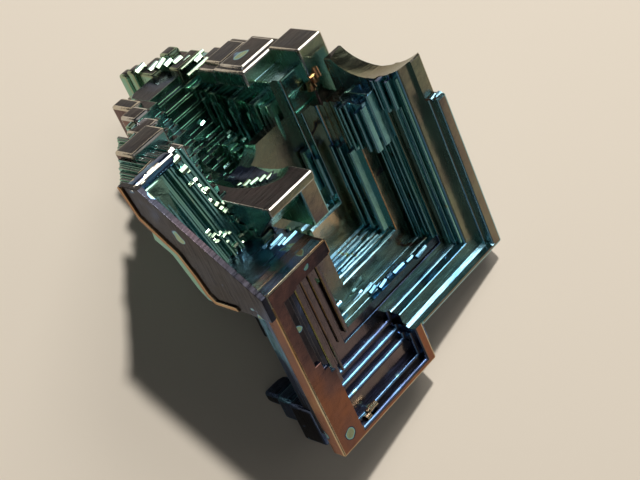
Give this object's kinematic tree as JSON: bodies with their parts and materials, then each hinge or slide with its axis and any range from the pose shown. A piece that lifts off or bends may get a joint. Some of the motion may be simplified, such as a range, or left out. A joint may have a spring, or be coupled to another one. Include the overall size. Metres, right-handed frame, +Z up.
{
  "type": "raw bismuth crystal cluster",
  "caption": "Cluster of hopper-shaped bismuth crystals grown together, with stepped square pits and an iridescent oxide film, lying on the flats of its underside.",
  "frame": {"origin": "centre of the bounding box in X and Y, at the level of the flats on the underside that the cluster rests on", "axes": "+Z up as the cluster rests; +Y along its longest extent, from the tip of the large hopper's left arm towards the rim of the open trough; +X towards the large hopper's right foot corner"},
  "size_m": [0.0388, 0.042, 0.0235],
  "materials": {
    "oxide_tinted_bismuth": "bright metal under a thin iridescent oxide film, teal to bronze, purple and copper"
  },
  "bodies": {
    "root": {"bismuth_crystal": "oxide_tinted_bismuth"}
  },
  "joints": []
}
